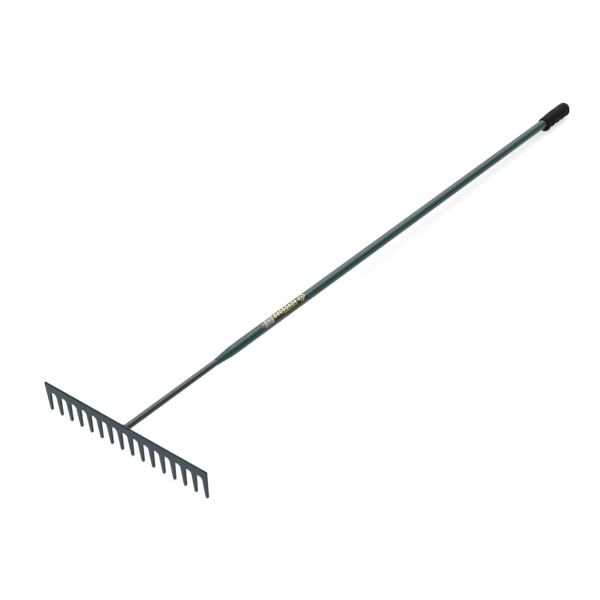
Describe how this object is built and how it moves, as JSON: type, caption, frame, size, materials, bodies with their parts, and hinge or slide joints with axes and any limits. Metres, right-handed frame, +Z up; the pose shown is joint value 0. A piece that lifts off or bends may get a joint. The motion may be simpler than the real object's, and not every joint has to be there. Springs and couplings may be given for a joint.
{
  "type": "garden rake",
  "caption": "Level-head garden rake: flat toothed steel plate on a straight round neck, tube handle swaged onto the neck, moulded finger grip.",
  "frame": {"origin": "on the ground under the middle of the rake's bounding box, with the rake lying ready for use on its tooth tips and the underside of its grip", "axes": "+X along the head, +Y from the head towards the grip, +Z up; the handle falls 1.5 degrees towards the grip"},
  "size_m": [0.419, 1.7036, 0.0753],
  "materials": {
    "enamel": "glossy dark blue-green stove enamel over steel",
    "label_film": "clear-coated printed film, dark brown with plain gold and silver shapes",
    "grip_pvc": "satin black soft PVC with a fine stipple"
  },
  "bodies": {
    "root": {"rake_head": "enamel", "head_weld": "enamel", "neck_rod": "enamel", "socket_weld": "enamel", "handle_tube": "enamel", "label": "label_film", "grip": "grip_pvc"}
  },
  "joints": []
}
